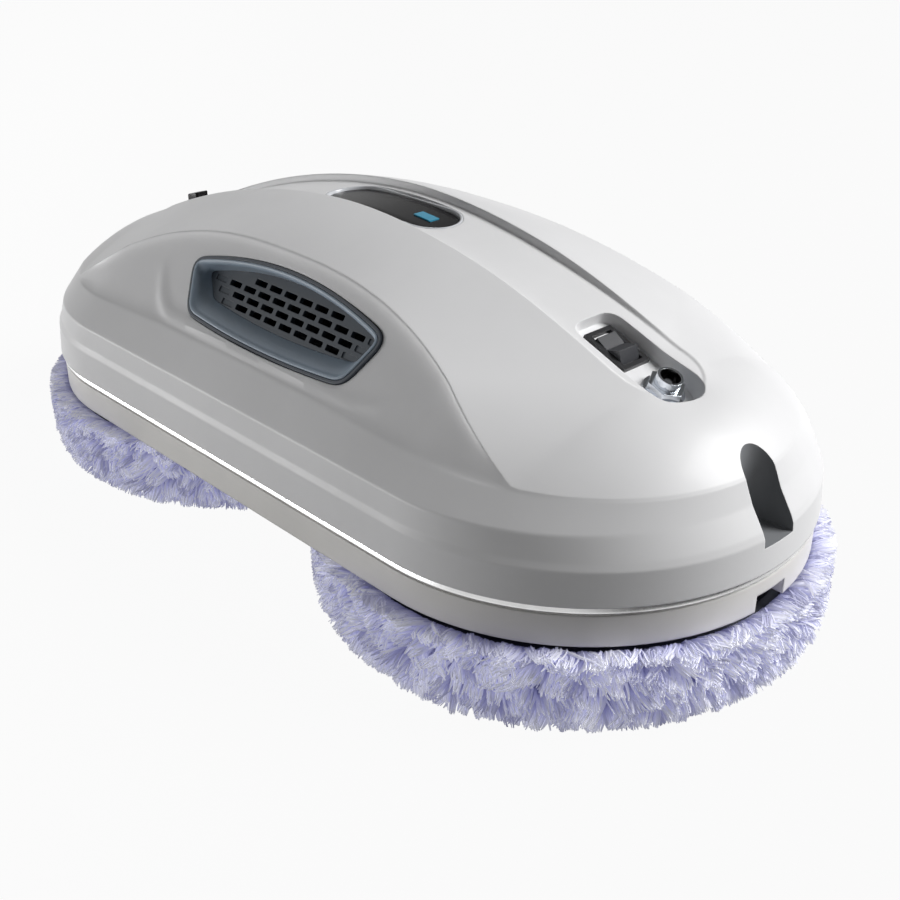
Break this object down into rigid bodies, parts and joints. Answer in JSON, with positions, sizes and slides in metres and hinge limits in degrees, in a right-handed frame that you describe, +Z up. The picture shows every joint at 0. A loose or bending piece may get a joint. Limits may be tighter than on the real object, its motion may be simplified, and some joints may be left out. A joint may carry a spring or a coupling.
{
  "type": "window cleaning robot",
  "caption": "Window cleaning robot: two turning round microfibre pads side by side under one long domed white shell, with side vents, a suction fan, a rocker switch and a power socket.",
  "frame": {"origin": "on the glass or floor under the middle of the robot, level with the underside of both pads", "axes": "+X along the body towards the cord end, which carries the switch, socket and cord notch; -Y the right side, whose vent the picture shows; +Z up out of the glass"},
  "size_m": [0.2952, 0.1472, 0.0983],
  "materials": {
    "shell_plastic": "gloss white moulded",
    "base_plastic": "satin warm off-white moulded",
    "seam_plastic": "matte",
    "bezel_plastic": "satin blue-grey",
    "grille_plastic": "matte dark",
    "window_gloss": "polished black",
    "light_plastic": "clear blue",
    "switch_plastic": "satin black",
    "rocker_plastic": "satin dark grey",
    "contact_brass": "plain",
    "nickel": "nickel plated",
    "wheel_plastic": "matte dark grey",
    "pad_fabric": "long microfibre pile, lavender blue",
    "gear_plastic": "plain ivory",
    "steel": "zinc plated",
    "motor_steel": "plated can",
    "board_green": "lacquered board",
    "capacitor_blue": "sleeved",
    "cell_blue": "sleeved"
  },
  "bodies": {
    "chassis": {"top_shell": "shell_plastic", "base_tray": "base_plastic", "seam_trim": "seam_plastic", "vent_bezel_right": "bezel_plastic", "vent_bezel_left": "bezel_plastic", "vent_grille_right": "grille_plastic", "vent_grille_left": "grille_plastic", "status_window": "window_gloss", "status_light": "light_plastic", "remote_lens": "window_gloss", "switch_housing": "switch_plastic", "switch_blade_1": "contact_brass", "switch_blade_2": "contact_brass", "power_socket": "nickel", "socket_nut": "nickel", "socket_washer": "nickel", "socket_insulator": "switch_plastic", "socket_pin": "contact_brass", "hub_bush_cord": "contact_brass", "hub_bush_far": "contact_brass", "gear_pin_cord": "steel", "gear_pin_far": "steel", "gear_plate_cord": "steel", "gear_plate_far": "steel", "drive_motor_cord": "motor_steel", "drive_motor_far": "motor_steel", "air_channel": "wheel_plastic", "channel_lid": "wheel_plastic", "fan_housing": "wheel_plastic", "fan_lid": "wheel_plastic", "fan_motor": "motor_steel", "circuit_board": "board_green", "board_chip": "switch_plastic", "capacitor_1": "capacitor_blue", "capacitor_2": "capacitor_blue", "battery_tray": "wheel_plastic", "battery_cell_1": "cell_blue", "battery_cell_2": "cell_blue", "battery_cell_3": "cell_blue", "battery_cell_4": "cell_blue", "shell_screws": "steel"},
    "wheel_cord": {"wheel_cord": "wheel_plastic", "hook_ring_cord": "seam_plastic", "pad_cord": "pad_fabric", "wheel_gear_cord": "gear_plastic", "hub_clip_cord": "steel"},
    "wheel_far": {"wheel_far": "wheel_plastic", "hook_ring_far": "seam_plastic", "pad_far": "pad_fabric", "wheel_gear_far": "gear_plastic", "hub_clip_far": "steel"},
    "gear_cord": {"compound_gear_cord": "gear_plastic"},
    "gear_far": {"compound_gear_far": "gear_plastic"},
    "pinion_cord": {"motor_pinion_cord": "contact_brass"},
    "pinion_far": {"motor_pinion_far": "contact_brass"},
    "fan": {"impeller": "gear_plastic", "fan_shaft": "steel"},
    "rocker": {"rocker": "rocker_plastic"}
  },
  "joints": [
    {"name": "wheel_cord_spin", "type": "hinge", "parent": "chassis", "child": "wheel_cord", "pos_m": [0.074, 0, 0.03], "axis": [0, 0, 1], "continuous": true},
    {"name": "wheel_far_spin", "type": "hinge", "parent": "chassis", "child": "wheel_far", "pos_m": [-0.074, 0, 0.03], "axis": [0, 0, 1], "continuous": true},
    {"name": "gear_cord_spin", "type": "hinge", "parent": "chassis", "child": "gear_cord", "pos_m": [0.0565, -0.03031, 0.03], "axis": [0, 0, 1], "continuous": true},
    {"name": "gear_far_spin", "type": "hinge", "parent": "chassis", "child": "gear_far", "pos_m": [-0.0565, 0.03031, 0.03], "axis": [0, 0, 1], "continuous": true},
    {"name": "pinion_cord_spin", "type": "hinge", "parent": "chassis", "child": "pinion_cord", "pos_m": [0.0349, -0.03031, 0.03], "axis": [0, 0, 1], "continuous": true},
    {"name": "pinion_far_spin", "type": "hinge", "parent": "chassis", "child": "pinion_far", "pos_m": [-0.0349, 0.03031, 0.03], "axis": [0, 0, 1], "continuous": true},
    {"name": "fan_spin", "type": "hinge", "parent": "chassis", "child": "fan", "pos_m": [0, 0, 0.052], "axis": [0, 0, 1], "continuous": true},
    {"name": "rocker_tilt", "type": "hinge", "parent": "chassis", "child": "rocker", "pos_m": [0.08656, 0, 0.07426], "axis": [0, 1, 0], "range_deg": [0, 22]}
  ],
  "couplings": [
    {"joint": "gear_cord_spin", "follows": "wheel_cord_spin", "ratio": -4},
    {"joint": "pinion_cord_spin", "follows": "wheel_cord_spin", "ratio": 14},
    {"joint": "gear_far_spin", "follows": "wheel_far_spin", "ratio": -4},
    {"joint": "pinion_far_spin", "follows": "wheel_far_spin", "ratio": 14}
  ]
}
